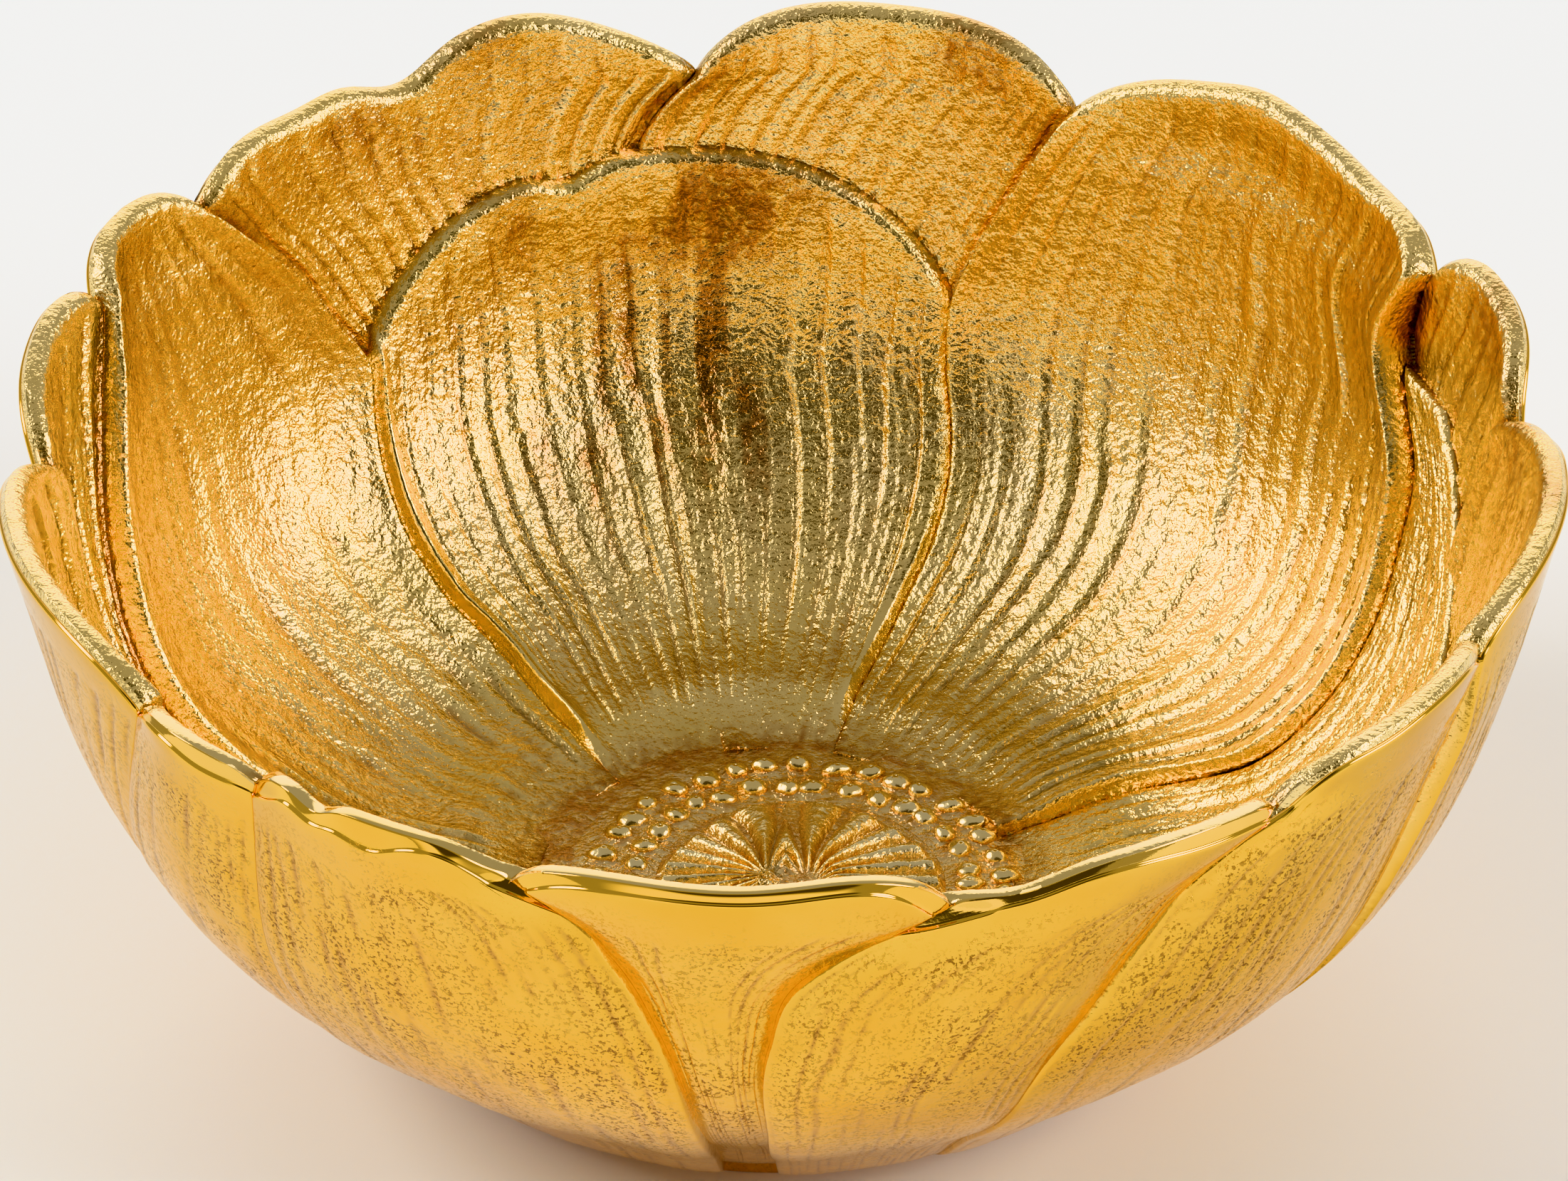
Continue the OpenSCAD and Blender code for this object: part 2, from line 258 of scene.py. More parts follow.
PETALS = {
    "petal_back_right": petal(turned(SEAM_M), SEAM_A, 6.6, covered=True, inside=(-0.4, 0.45),
                              outside=(0.12, -0.1), veins=14, lean=-1),
    "petal_back_left": petal(SEAM_A, SEAM_B, 6,
                             waves=[(0.28, 0.13, 1.3), (0.53, 0.09, -3), (0.72, 0.12, -1.6)],
                             covered=True, inside=(-0.6, -0.7), outside=(0.12, -0.1), veins=16),
    "petal_rear_left": petal(SEAM_B, SEAM_C, 4, step=PETAL_STEP, inside=(0.15, 0.8),
                             outside=(0.12, -0.1), cup=0.7, veins=11),
    "petal_left_narrow": petal(SEAM_C, SEAM_D, 4.6, inside=(-0.8, -0.5), outside=(0.12, -0.1),
                               veins=5),
    "petal_left": petal(SEAM_D, SEAM_E, 6.5, inside=(0.5, 0.5), outside=(0.12, -0.1), veins=8),
    "petal_front_left": petal(SEAM_E, SEAM_F, 2.8, roundness=2, inside=(-0.4, -0.4),
                              outside=(0.15, -0.1), veins=6, bevels=[(0.7, 0.25, 1.2)], shine=0.8),
    "petal_front_left_notched": petal(SEAM_F, SEAM_G, 4,
                                      waves=[(0.3, 0.09, -1.6), (0.92, 0.1, -0.8)],
                                      inside=(0.4, 0.5), outside=(0.2, 0.4), veins=11, lean=-1,
                                      bevels=[(0.08, 0.1, 1.2), (0.52, 0.15, 2.2), (1, 0.06, 1.2)],
                                      shine=1),
    "petal_front_tucked": petal(SEAM_G, SEAM_H, 4, roundness=4, waves=[(0.8, 0.2, 1.4)],
                                inside=(-0.6, -0.6), outside=(-0.2, -0.2), veins=7, tuck=0.8,
                                bevels=[(0, 0.12, 1), (1, 0.1, 2.2)], shine=1),
    "petal_front_right_broad": petal(SEAM_H, SEAM_I, 3.6, roundness=2, waves=[(0.2, 0.14, -1.2)],
                                     inside=(0.5, 0.4), outside=(0.4, -0.3), veins=9,
                                     bevels=[(0.03, 0.08, 1.6), (0.75, 0.2, 0.8)], shine=0.8),
    "petal_front_right": petal(SEAM_I, SEAM_J, 4.4, inside=(-0.4, -0.4), outside=(0.35, -0.2),
                               veins=8, bevels=[(0, 0.1, 0.8), (0.95, 0.12, 1)]),
    "petal_right": petal(SEAM_J, SEAM_K, 5.4, roundness=2.4, covered=True, inside=(0.5, 0.8),
                         outside=(0.12, -0.1), veins=12),
    "petal_right_narrow": petal(SEAM_K, SEAM_L, 5.6, covered=True, inside=(-0.6, -0.9),
                                outside=(0.12, -0.1), veins=6),
    "petal_rear_right": petal(SEAM_L, SEAM_M, 6, waves=[(0.27, 0.16, -1.8), (0.6, 0.1, 0.7)],
                              step=PETAL_STEP, inside=(1.3, 0.3), outside=(0.12, -0.1), cup=1.1,
                              veins=17, lean=-1),
}


def vein_relief(u, s, count, lean, seed):
    """Long grooves fanning up a petal: each stripe slopes up and then drops to the next."""
    wander = 0.35 * noise(u * count * 0.5, s / 26, seed) + 0.12 * noise(u * count * 2, s / 9, seed + 1)
    place = u * count * lean + wander
    cell = np.floor(place)
    across = place - cell
    slope = across * (1 - ease((across - 0.84) / 0.16))
    strength = 0.55 + 0.65 * noise(cell * 7.3, s / 22, seed + 2)
    coarse = (0.5 * slope - 0.4 * gauss(across, 0.94, 0.07)) * np.clip(strength, 0.15, 1)
    place = u * count * 2.7 + 0.5 * noise(u * count, s / 12, seed + 3)
    cell = np.floor(place)
    across = place - cell
    fine = across * (1 - ease((across - 0.7) / 0.3))
    fine = fine * np.clip(0.4 + 0.8 * noise(cell * 5.1, s / 14, seed + 4), 0, 1)
    return coarse + 0.28 * fine


def cast_lumps(x, y, seed):
    """The uneven skin of a sand casting."""
    return 0.6 * noise(x / 1.3, y / 1.3, seed) + 0.4 * noise(x / 0.6, y / 0.6, seed + 1)


def seam_lip(distance, height, width, radius):
    """A rolled edge that drops at the seam, or a groove where height is negative."""
    roll = height * quarter_round(distance / radius) * gauss(distance, 0, width)
    groove = height * gauss(distance, 0, 0.5 * width)
    return roll if height > 0 else groove


def line_grooves(u, s, count, seed):
    """Fine broken lines that run up a petal, from 0 to 1 deep."""
    wander = 0.5 * noise(u * count * 0.4, s / 24, seed) + 0.16 * noise(u * count, s / 6, seed + 1)
    place = u * count + wander
    cell = np.floor(place)
    across = place - cell - 0.5
    shown = ease(1.6 * noise(cell * 3.7, s / 11, seed + 2) + 0.55)
    return gauss(across, 0, 0.13) * shown


def add_mesh(name, points, faces, attributes, material, node):
    """A finished piece in metres, standing for one CAD node."""
    mesh = bpy.data.meshes.new(name)
    mesh.vertices.add(len(points))
    mesh.vertices.foreach_set("co", (points * UNIT).astype(np.float32).ravel())
    faces = np.asarray(faces, np.int32)
    mesh.loops.add(faces.size)
    mesh.loops.foreach_set("vertex_index", faces.ravel())
    mesh.polygons.add(len(faces))
    mesh.polygons.foreach_set("loop_start", np.arange(0, faces.size, 4, dtype=np.int32))
    mesh.polygons.foreach_set("use_smooth", np.ones(len(faces), bool))
    mesh.update(calc_edges=True)
    mesh.validate()
    for key, values in attributes.items():
        layer = mesh.attributes.new(key, "FLOAT", "POINT")
        layer.data.foreach_set("value", values.astype(np.float32))
    mesh.materials.append(material)
    piece = bpy.data.objects.new(name, mesh)
    bpy.context.scene.collection.objects.link(piece)
    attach(piece, "root")
    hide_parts(node)
    return piece


def skin_faces(rows, columns, wrap=False):
    """Quads over a grid of points, row by row, closed round the columns if wrap is set."""
    j, i = np.meshgrid(np.arange(rows - 1), np.arange(columns if wrap else columns - 1), indexing="ij")
    k = (i + 1) % columns
    quads = [j * columns + i, j * columns + k, (j + 1) * columns + k, (j + 1) * columns + i]
    return np.stack(quads, axis=-1).reshape(-1, 4)


def slab_faces(rows, columns):
    """A closed slab between two grids of the same shape, the one facing the inside first."""
    total = rows * columns
    inner = skin_faces(rows, columns)[:, ::-1]
    outer = skin_faces(rows, columns) + total
    low = np.arange(rows - 1) * columns
    high = low + columns
    left = columns - 1
    i = np.arange(columns - 1)
    top = i + (rows - 1) * columns
    sides = [np.column_stack([high, low, low + total, high + total]),
             np.column_stack([low + left, high + left, high + left + total, low + left + total]),
             np.column_stack([i, i + 1, i + 1 + total, i + total]),
             np.column_stack([top + 1, top, top + total, top + 1 + total])]
    return np.concatenate([inner, outer] + sides)


def side_spacing(count):
    """Positions across a petal, closer together towards its two seams."""
    even = np.linspace(0, 1, count)
    return mix(even, 0.5 - 0.5 * np.cos(np.pi * even), 0.6)[None, :]


def petal_bow(p, u, s):
    """How far a petal's two sides turn in: only near the rim where an inner petal covers it."""
    start, length = (87, 10) if p["covered"] else (55, 42)
    return PETAL_BOW * (2 * u - 1) ** 2 * ease((s - start) / length)


def petal_inside(p, u, s, edge, width, seed):
    """Relief, polish and painted shade of the face towards the bowl's inside."""
    right = u * width
    left = (1 - u) * width
    depth = edge - s
    lips = [seam_lip(distance, lip, 1.8 + 2.6 * abs(lip), 0.8)
            for distance, lip in zip((right, left), p["inside"])]
    hollow = PETAL_HOLLOW * arch(u, 2) * ease((s - 26) / 14) * (1 - ease((s - 85) / 12))
    hollow = hollow * (0 if p["covered"] else 1)
    cup = p["cup"] * arch(u, 2.4) * ease((s - 38) / 22) * ease((depth - 1) / 7)
    proud = p["step"] * ease((s - PETAL_ROOT) / 6) * (1 - ease((s - 88) / 8))
    clear = ease(right / 2) * ease(left / 2) * ease((depth - 0.8) / 3) * ease((s - 24) / 4)
    veins = (vein_relief(u, s, p["veins"], p["lean"], seed) - 0.15) * clear
    across = (u - 0.5) * width
    skin = 0.09 * cast_lumps(across, s, seed + 7) * ease((depth - 0.1) / 0.8)
    ragged = INSIDE_ROOT + 0.7 * noise(across / 3.5, s * 0, seed + 9)
    root = -0.45 * (1 - ease((s - ragged) / 4))
    relief = petal_bow(p, u, s) + proud - hollow - cup + sum(lips) + veins + skin + root
    # Painted shade: darker in the vein grooves, along the seams and at the petal's root.
    painted_shade = np.clip(0.2 - veins * 1.8, 0, 0.8) * clear
    for lip, distance in zip(p["inside"], (right, left)):
        painted_shade = painted_shade + gauss(distance, 0, 1.3) * np.clip(-lip * 2, 0.15, 1.4)
    # Painted shade in patches just below the rim of the covered petals.
    painted_shade_patches = ease(0.3 + 1.1 * noise(across / 8, s / 5, seed + 5)) * gauss(depth, 2, 5)
    painted_shade = painted_shade + (0.8 * painted_shade_patches if p["covered"] else 0) + gauss(s, INSIDE_ROOT, 3.4)
    polish = p["shine"] * (1 - ease(depth / 0.9))
    return relief, polish, np.clip(painted_shade, 0, 2)


def petal_outside(p, u, s, edge, width, seed):
    """Relief (positive towards the inside), polish, painted shade and pits of the outer face."""
    right = u * width
    left = (1 - u) * width
    depth = edge - s
    lips = [seam_lip(distance, lip, 2 + 9 * abs(lip), 4)
            for distance, lip in zip((right, left), p["outside"])]
    low_fade = ease((s - SEAT_END) / 8) * ease((depth - 1.5) / 7)
    tuck = p["tuck"] * (1 - ease((s - 80) / 14))
    band = (3 + 3 * arch(u, 3)) + 1.1 * noise(u * p["veins"] * 0.6, s * 0, seed + 11)
    polish = 1 - ease((depth - band) / 1.4)
    clear = ease(right / 1.5) * ease(left / 1.5) * (1 - polish) * ease((s - 35) / 7)
    veins = 0.16 * line_grooves(u, s, p["veins"] * 2.1, seed + 20) * clear
    across = (u - 0.5) * width
    skin = 0.03 * cast_lumps(across, s, seed + 17) * (1 - polish)
    swell = 0.12 * noise(across / 7, s / 11, seed + 27) * low_fade
    heel = HEEL_DEPTH * gauss(s, SEAT_END, HEEL_LENGTH)
    relief = petal_bow(p, u, s) + tuck - heel - sum(lips) * low_fade + veins + skin + swell
    # Painted shade in the fine grooves and along the seams.
    painted_shade = np.clip(veins * 5, 0, 0.8)
    for lip, distance in zip(p["outside"], (right, left)):
        painted_shade = painted_shade + gauss(distance, 0, 1.6) * np.clip(-lip * 0.9, 0.08, 0.5) * low_fade
    patches = ease(0.45 + 0.8 * noise(across / 6, s / 9, seed + 31))
    pits = mix(0.35, 1, patches) * ease((s - 40) / 14) * (clear + 0.3 * polish) * ease((depth - 1.5) / 2)
    # Painted shade, darker towards the foot.
    painted_shade = painted_shade + 0.5 * (1 - ease((s - SEAT_END) / 26))
    return relief, polish, np.clip(painted_shade, 0, 1), pits


def rim_rows(drop, half):
    """Depth below the crest and h of the rows that climb the rim's outside and its ground top.
    drop is how far the top falls from the crest to the outer edge, half the wall's half width."""
    straight = np.linspace(0, 1, FACE_ROWS + 1)[1:, None]
    corner = np.radians(np.linspace(0, 90, CORNER_ROWS + 1))[1:, None]
    facet = np.linspace(0, 1, FACET_ROWS + 1)[1:, None]
    inset = -half + CORNER_RADIUS
    depths = [mix(LIP_DEPTH, drop + CORNER_RADIUS, straight),
              drop + CORNER_RADIUS * (1 - np.sin(corner)),
              drop * (1 - facet) ** 1.2]
    across = [-half + 0 * straight * drop,
              -half + CORNER_RADIUS * (1 - np.cos(corner)) + 0 * drop,
              mix(inset, CREST - 0.02, facet) + 0 * drop]
    return np.concatenate(depths), np.concatenate(across)


def petal_underside(azimuth, root_azimuth, outer_row):
    """The rows from a petal's root, along its flat seat on the foot and up to its outside face,
    whose lowest row is outer_row."""
    low_radius = np.hypot(outer_row[:, 0], outer_row[:, 1])
    low_height = outer_row[:, 2]
    root = arc_radius(PETAL_ROOT)
    seat = FOOT_RADIUS + 0.02
    ring = [(mix(seat, root, share), FOOT_HEIGHT, share) for share in (1, 0.67, 0.33, 0)]
    ring += [(seat, mix(FOOT_HEIGHT, low_height, 0.6), 0), (seat, low_height + 0.12, 0),
             (seat + 0.1, low_height - 0.08, 0), (low_radius - 0.22, low_height - 0.12, 0)]
    rows = []
    for radius, height, share in ring:
        bearing = np.radians(mix(azimuth, root_azimuth, share))
        rows.append(np.stack([radius * np.cos(bearing), radius * np.sin(bearing),
                              height + 0 * bearing], axis=-1))
    return np.stack(rows)


def build_petal(name, p, seed, material):
    """One rim petal: a slab with a veined inside, a rolled rim and a veined, pitted outside."""
    middle = np.radians(p["left"][0][1] - p["right"][0][1]) * arc_radius(85)
    columns = max(14, round(middle / GRID)) + 1
    u = side_spacing(columns)
    edge = mix(p["right"][0][0], p["left"][0][0], u) + p["lobe"] * arch(u, p["roundness"])
    edge = with_bumps(edge, p["waves"], u)
    steps = round((edge.mean() - INSIDE_ROOT) / GRID)
    climb_inside = np.linspace(0, 1, steps)[:, None]
    climb_outside = np.linspace(0, 1, steps - HEEL_ROWS)[:, None]
    lip = LIP_DEPTH * (1 - np.linspace(0, 1, LIP_ROWS + 1)[1:, None]) ** 2

    def azimuth(s):
        return mix(smooth_through(p["right"], s), smooth_through(p["left"], s), u)

    def width(s):
        span = smooth_through(p["left"], s) - smooth_through(p["right"], s)
        return np.radians(span) * arc_radius(s)

    s = np.concatenate([mix(INSIDE_ROOT, edge - LIP_DEPTH, climb_inside), edge - lip])
    relief, polish, painted_shade = petal_inside(p, u, s, edge, width(s), seed)
    rounded = mix(CREST, thickness(s) / 2, quarter_round((edge - s) / INNER_ROUNDING))
    inner = wall_point(azimuth(s), s, rounded + relief)
    inner_values = [polish, painted_shade, np.zeros_like(s), np.ones_like(s)]

    drop = 0.5 + 0.2 * noise(u * p["veins"] * 0.7, 0 * u, seed + 13)
    drop = with_bumps(drop, p["bevels"], u)
    depths, across = rim_rows(drop, RIM_THICKNESS / 2)
    s = np.concatenate([mix(SEAT_END, edge - LIP_DEPTH, climb_outside), edge - depths])
    relief, polish, painted_shade, pits = petal_outside(p, u, s, edge, width(s), seed)
    polish[-FACET_ROWS:] = p["shine"]
    inwards = np.zeros_like(s)
    inwards[-FACET_ROWS:] = 1 - p["shine"]
    body = -thickness(s[:-LIP_ROWS]) / 2
    outer = wall_point(azimuth(s), s, relief + np.concatenate([body, across]))
    underside = petal_underside(azimuth(s)[0], azimuth(PETAL_ROOT)[0], outer[0])
    outer = np.concatenate([underside, outer])

    def with_underside(values, low):
        return np.concatenate([np.full((HEEL_ROWS, columns), low), values])

    # Painted shade: the rows under the petal's heel are darkened.
    outer_values = [with_underside(polish, 0), with_underside(painted_shade, 0.7), with_underside(pits, 0),
                    with_underside(inwards, 0)]
    points = np.concatenate([inner.reshape(-1, 3), outer.reshape(-1, 3)])
    names = ("polish", "painted_shade", "pits", "inside")
    attributes = {key: np.concatenate([a.ravel(), b.ravel()])
                  for key, a, b in zip(names, inner_values, outer_values)}
    faces = slab_faces(steps + LIP_ROWS, columns)
    return add_mesh(name + "_cast", points, faces, attributes, material, name)


def build_overlay(name, right_edge, left_edge, tips, height, ridge, dark_reflection, veins, seed, material):
    """A shorter petal lying on the wall's inside, rolled off round its edge. ridge is the
    height of the narrow ridges along its right and left edges, and the argument after it how
    strongly a painted dark reflection darkens its tip and the part below."""
    halfway = 62
    middle = np.radians(smooth_through(left_edge, halfway) - smooth_through(right_edge, halfway))
    columns = round(middle * arc_radius(halfway) / GRID) + 1
    u = side_spacing(columns)
    tip = tips(u)
    rows = round((tip.max() - PETAL_ROOT) / GRID)
    even = np.linspace(0, 1, rows)
    rise = mix(even, np.sin(even * np.pi / 2), 0.5)[:, None]
    s = mix(INSIDE_ROOT, tip, rise)
    start = smooth_through(right_edge, s)
    end = smooth_through(left_edge, s)
    width = np.radians(end - start) * arc_radius(s)
    steep = np.gradient(tip[0], u[0])[None, :] / width
    right = u * width
    left = (1 - u) * width
    depth = (tip - s) / np.sqrt(1 + steep**2)

    roll = quarter_round(right / 2.2) * quarter_round(left / 1.3) * quarter_round(depth / 1.3)
    dish = 1 - 0.35 * arch(u, 2) * ease((s - 30) / 18) * ease((depth - 2) / 8)
    root = ease((s - INSIDE_ROOT - 0.5) / 9)
    flare = 0.45 * (1 - ease((s - INSIDE_ROOT) / 4))
    edge_ridge = ridge[0] * gauss(right, 1, 0.6) * (1 - ease((s - 48) / 8))
    edge_ridge = (edge_ridge + ridge[1] * gauss(left, 1, 0.7)) * ease((s - PETAL_ROOT) / 6)
    clear = ease((right - 1) / 2) * ease((left - 1) / 2) * ease((depth - 1.5) / 3) * ease((s - 26) / 5)
    stripes = (vein_relief(u, s, veins, 1, seed) - 0.1) * clear
    across = (u - 0.5) * width
    skin = 0.09 * cast_lumps(across, s, seed + 7) * ease(roll)
    top = thickness(s) / 2 + height * roll * dish * root - flare + edge_ridge + stripes + skin
    azimuth = mix(start, end, u)
    inner = wall_point(azimuth, s, top)
    outer = wall_point(azimuth, s, thickness(s) / 2 - OVERLAY_SINK)
    points = np.concatenate([inner.reshape(-1, 3), outer.reshape(-1, 3)])

    # Painted shade in its grooves, round its rolled-off edge where it meets the wall, and at its root.
    painted_shade = np.clip(0.2 - stripes * 1.5, 0, 0.7) * clear + 0.6 * (1 - ease(roll * 1.2))
    painted_shade = painted_shade + 0.9 * (1 - ease(roll * 3))
    # Painted dark reflection: dark patches near the tip and streaks lower down.
    painted_shade_patches = ease(0.45 + 1.2 * noise(across / 7, s / 6, seed + 5)) * gauss(depth, 5, 7)
    reflection_streaks = ease(1.6 * noise(u * veins * 1.8, s / 18, seed + 6)) * gauss(depth, 21, 11)
    painted_shade = painted_shade + dark_reflection * (2 * painted_shade_patches + 2.4 * reflection_streaks) * gauss(u, 0.45, 0.3)
    painted_shade = np.clip(painted_shade + gauss(s, INSIDE_ROOT, 3), 0, 2)
    polish = 0.75 * np.clip(edge_ridge * 3, 0, 1) * (1 - ease((s - 60) / 14))
    nothing = np.zeros_like(s)
    attributes = {"polish": np.concatenate([polish.ravel(), nothing.ravel()]),
                  "painted_shade": np.concatenate([painted_shade.ravel(), nothing.ravel()]),
                  "pits": np.zeros(2 * s.size),
                  "inside": np.ones(2 * s.size)}
    return add_mesh(name + "_cast", points, slab_faces(rows, columns), attributes, material,
                    name)


def revolved_faces(rows, columns):
    """Quads round a revolved skin, with its last row joined to its first."""
    i = np.arange(columns)
    k = (i + 1) % columns
    last = (rows - 1) * columns
    join = np.column_stack([last + i, last + k, k, i])
    return np.concatenate([skin_faces(rows, columns, wrap=True), join])


def turns(count):
    """Bearings all the way round, in radians."""
    return np.linspace(0, 2 * np.pi, count, endpoint=False)[None, :]


def bead_places():
    """Centres of the stamen heads, in millimetres, slightly uneven as in a casting."""
    random = np.random.default_rng(31)
    places = []
    for count, gap, turn in ((INNER_BEADS, INNER_GAP, 0), (OUTER_BEADS, OUTER_GAP, 0.5)):
        bearing = 2 * np.pi * (np.arange(count) + turn + random.uniform(-0.16, 0.16, count)) / count
        reach = HEART_RADIUS + gap + random.uniform(-0.35, 0.35, count)
        places.append(np.column_stack([HEART_X + reach * np.cos(bearing), reach * np.sin(bearing)]))
    return np.concatenate(places)


def build_floor(material):
    """The round floor: rough, and raised a little round the foot of every bead."""
    edge = FLOOR_RADIUS
    top_radius = np.append(np.linspace(0.05, edge - 0.3, round(edge / (GRID * 0.8))), edge - 0.12)
    low_radius = [edge, edge, edge, edge - 0.4, edge * 0.5, 0.05]
    low_height = [FLOOR_TOP - 0.3, FLOOR_TOP - 1, FLOOR_UNDERSIDE + 0.3] + 3 * [FLOOR_UNDERSIDE]
    radius = np.append(top_radius, low_radius)[:, None]
    bearing = turns(620)
    x = radius * np.cos(bearing)
    y = radius * np.sin(bearing)
    top = len(top_radius)
    places = bead_places()
    near = np.min(np.hypot(x[:top, :, None] - places[:, 0], y[:top, :, None] - places[:, 1]), axis=2)
    height = FLOOR_TOP - 0.35 + 0.07 * cast_lumps(x, y, 41) + 0.16 * noise(x / 2.6, y / 2.6, 43)
    height[:top] += 0.5 * gauss(near, 0, 1.3)
    height[top:] = np.array(low_height)[:, None]
    points = np.stack([x, y, height], axis=-1)
    from_heart = np.hypot(x[:top] - HEART_X, y[:top])
    # Painted shade: darker round the foot of every bead, over the floor's outer part and on its
    # underside.
    painted_shade = np.full_like(x, 0.9)
    painted_shade[:top] = np.where(from_heart < HEART_RADIUS + 8, 0.45 + 0.4 * gauss(near, 1.1, 0.5), 1)
    values = {"polish": np.zeros(x.size), "painted_shade": painted_shade.ravel(), "pits": np.zeros(x.size),
              "inside": np.ones(x.size)}
    return add_mesh("bowl_floor_cast", points.reshape(-1, 3), revolved_faces(*x.shape), values,
                    material, "bowl_floor")


def build_heart(material):
    """The ribbed centre: tapering ribs that run out from the middle and bend to both sides."""
    top_share = np.append(np.linspace(0.01, 0.9, 60), np.linspace(0.91, 1, 14))
    low_share = [1, 0.5, 0.01]
    share = np.append(top_share, low_share)[:, None]
    bearing = turns(900)
    x = HEART_RADIUS * share * np.cos(bearing)
    y = HEART_RADIUS * share * np.sin(bearing)
    beside = x + 0.1 * HEART_RADIUS
    fan = np.abs(np.arctan2(beside - 0.16 * HEART_RADIUS * np.sign(beside) * (1 - share), y))
    bend = 0.24 * share * np.sin(2 * fan)
    place = (fan - bend) / np.pi * RIBS + 0.12 * noise(x / 4, y / 4, 52)
    cell = np.floor(place)
    pulse = np.clip(1.35 * np.sin(np.pi * (place - cell)) - 0.35, 0, 1) ** 0.6
    length = 0.97 + 0.04 * np.sin(cell * 5.3)
    reach = ease((length - share) / 0.07) * ease((share - 0.08) / 0.2)
    dome = 0.3 * HEART_HEIGHT * (1 - share**2)
    ribs = 0.66 * HEART_HEIGHT * pulse * reach * mix(0.9, 1, share)
    height = FLOOR_TOP - 0.25 + dome + ribs + 0.04 * cast_lumps(x, y, 55)
    height[len(top_share):] = FLOOR_TOP - 0.8
    points = np.stack([x + HEART_X, y, height], axis=-1)
    # Painted shade between the ribs.
    painted_shade = np.clip(0.75 - 1.2 * ribs / HEART_HEIGHT, 0, 1)
    polish = 0.45 * np.clip(ribs / (0.5 * HEART_HEIGHT) - 0.5, 0, 1)
    values = {"polish": polish.ravel(), "painted_shade": painted_shade.ravel(), "pits": np.zeros(x.size),
              "inside": np.ones(x.size)}
    return add_mesh("flower_centre_cast", points.reshape(-1, 3), revolved_faces(*x.shape), values,
                    material, "flower_centre")


def build_beads(material):
    """Every stamen head: a slightly lopsided knob standing out of the floor."""
    random = np.random.default_rng(17)
    rows = 14
    columns = 24
    angle = np.linspace(0.02, np.pi - 0.02, rows)[:, None]
    bearing = turns(columns)
    unit = np.stack([np.sin(angle) * np.cos(bearing), np.sin(angle) * np.sin(bearing),
                     np.cos(angle) + 0 * bearing], axis=-1)
    one_bead = revolved_faces(rows, columns)[:, ::-1]
    points = []
    faces = []
    for number, (x, y) in enumerate(bead_places()):
        size = BEAD_RADIUS * np.array([random.uniform(1.15, 1.65), random.uniform(1.1, 1.45),
                                       random.uniform(0.78, 1.0)])
        lean = random.uniform(-0.25, 0.25, 2)
        dents = 1 + 0.1 * noise(unit[..., 0] * 2 + number, unit[..., 1] * 2, 61)[..., None]
        bead = unit * size * dents
        bead[..., 0] += lean[0] * bead[..., 2]
        bead[..., 1] += lean[1] * bead[..., 2]
        bead += np.array([x, y, FLOOR_TOP - 0.3 + 0.1 * BEAD_RADIUS])
        faces.append(one_bead + number * rows * columns)
        points.append(bead.reshape(-1, 3))
    # Painted shade over the lower side of every bead.
    painted_shade = np.tile(np.clip(0.75 - unit[..., 2] * 1.1, 0, 1).ravel(), len(points))
    attributes = {"polish": np.full(painted_shade.size, 0.6), "painted_shade": painted_shade,
                  "pits": np.zeros(painted_shade.size), "inside": np.ones(painted_shade.size)}
    return add_mesh("stamen_beads_cast", np.concatenate(points), np.concatenate(faces), attributes,
                    material, "stamen_beads")


def build_foot(material):
    """The ring foot, ground flat below with a softened edge."""
    outside = FOOT_RADIUS
    inside = FOOT_RADIUS - FOOT_WIDTH
    top = FOOT_HEIGHT
    profile = [(outside - 0.15, top), (outside, top - 0.3), (outside, 1.6), (outside, 0.8),
               (outside - 0.08, 0.3), (outside - 0.3, 0.08), (outside - 0.6, 0),
               (outside - 1.6, 0), (outside - 2.6, 0), (inside + 0.6, 0), (inside + 0.25, 0.1),
               (inside + 0.05, 0.35), (inside, 1), (inside, 2), (inside, top - 0.3), (inside + 0.1, top)]
    radius = np.array([r for r, z in profile])[:, None]
    height = np.array([z for r, z in profile])[:, None]
    bearing = turns(480)
    wobble = 0.06 * noise(bearing * 22, height, 71) - 0.06
    side = (height > 0.2) * (height < top - 0.1)
    radius = radius + wobble * side
    height = np.broadcast_to(height, radius.shape)
    points = np.stack([radius * np.cos(bearing), radius * np.sin(bearing), height], axis=-1)
    faces = revolved_faces(*radius.shape)[:, ::-1]
    # Painted shade, darker towards the top of the foot, under the bowl.
    painted_shade = np.clip(0.35 + 0.2 * height, 0, 1)
    values = {"polish": np.zeros(painted_shade.size), "painted_shade": painted_shade.ravel(),
              "pits": 0.5 * np.ones(painted_shade.size), "inside": np.full(painted_shade.size, 0.4)}
    return add_mesh("foot_ring_cast", points.reshape(-1, 3), faces, values, material,
                    "foot_ring")


# ---------------------------------------------------------------- materials


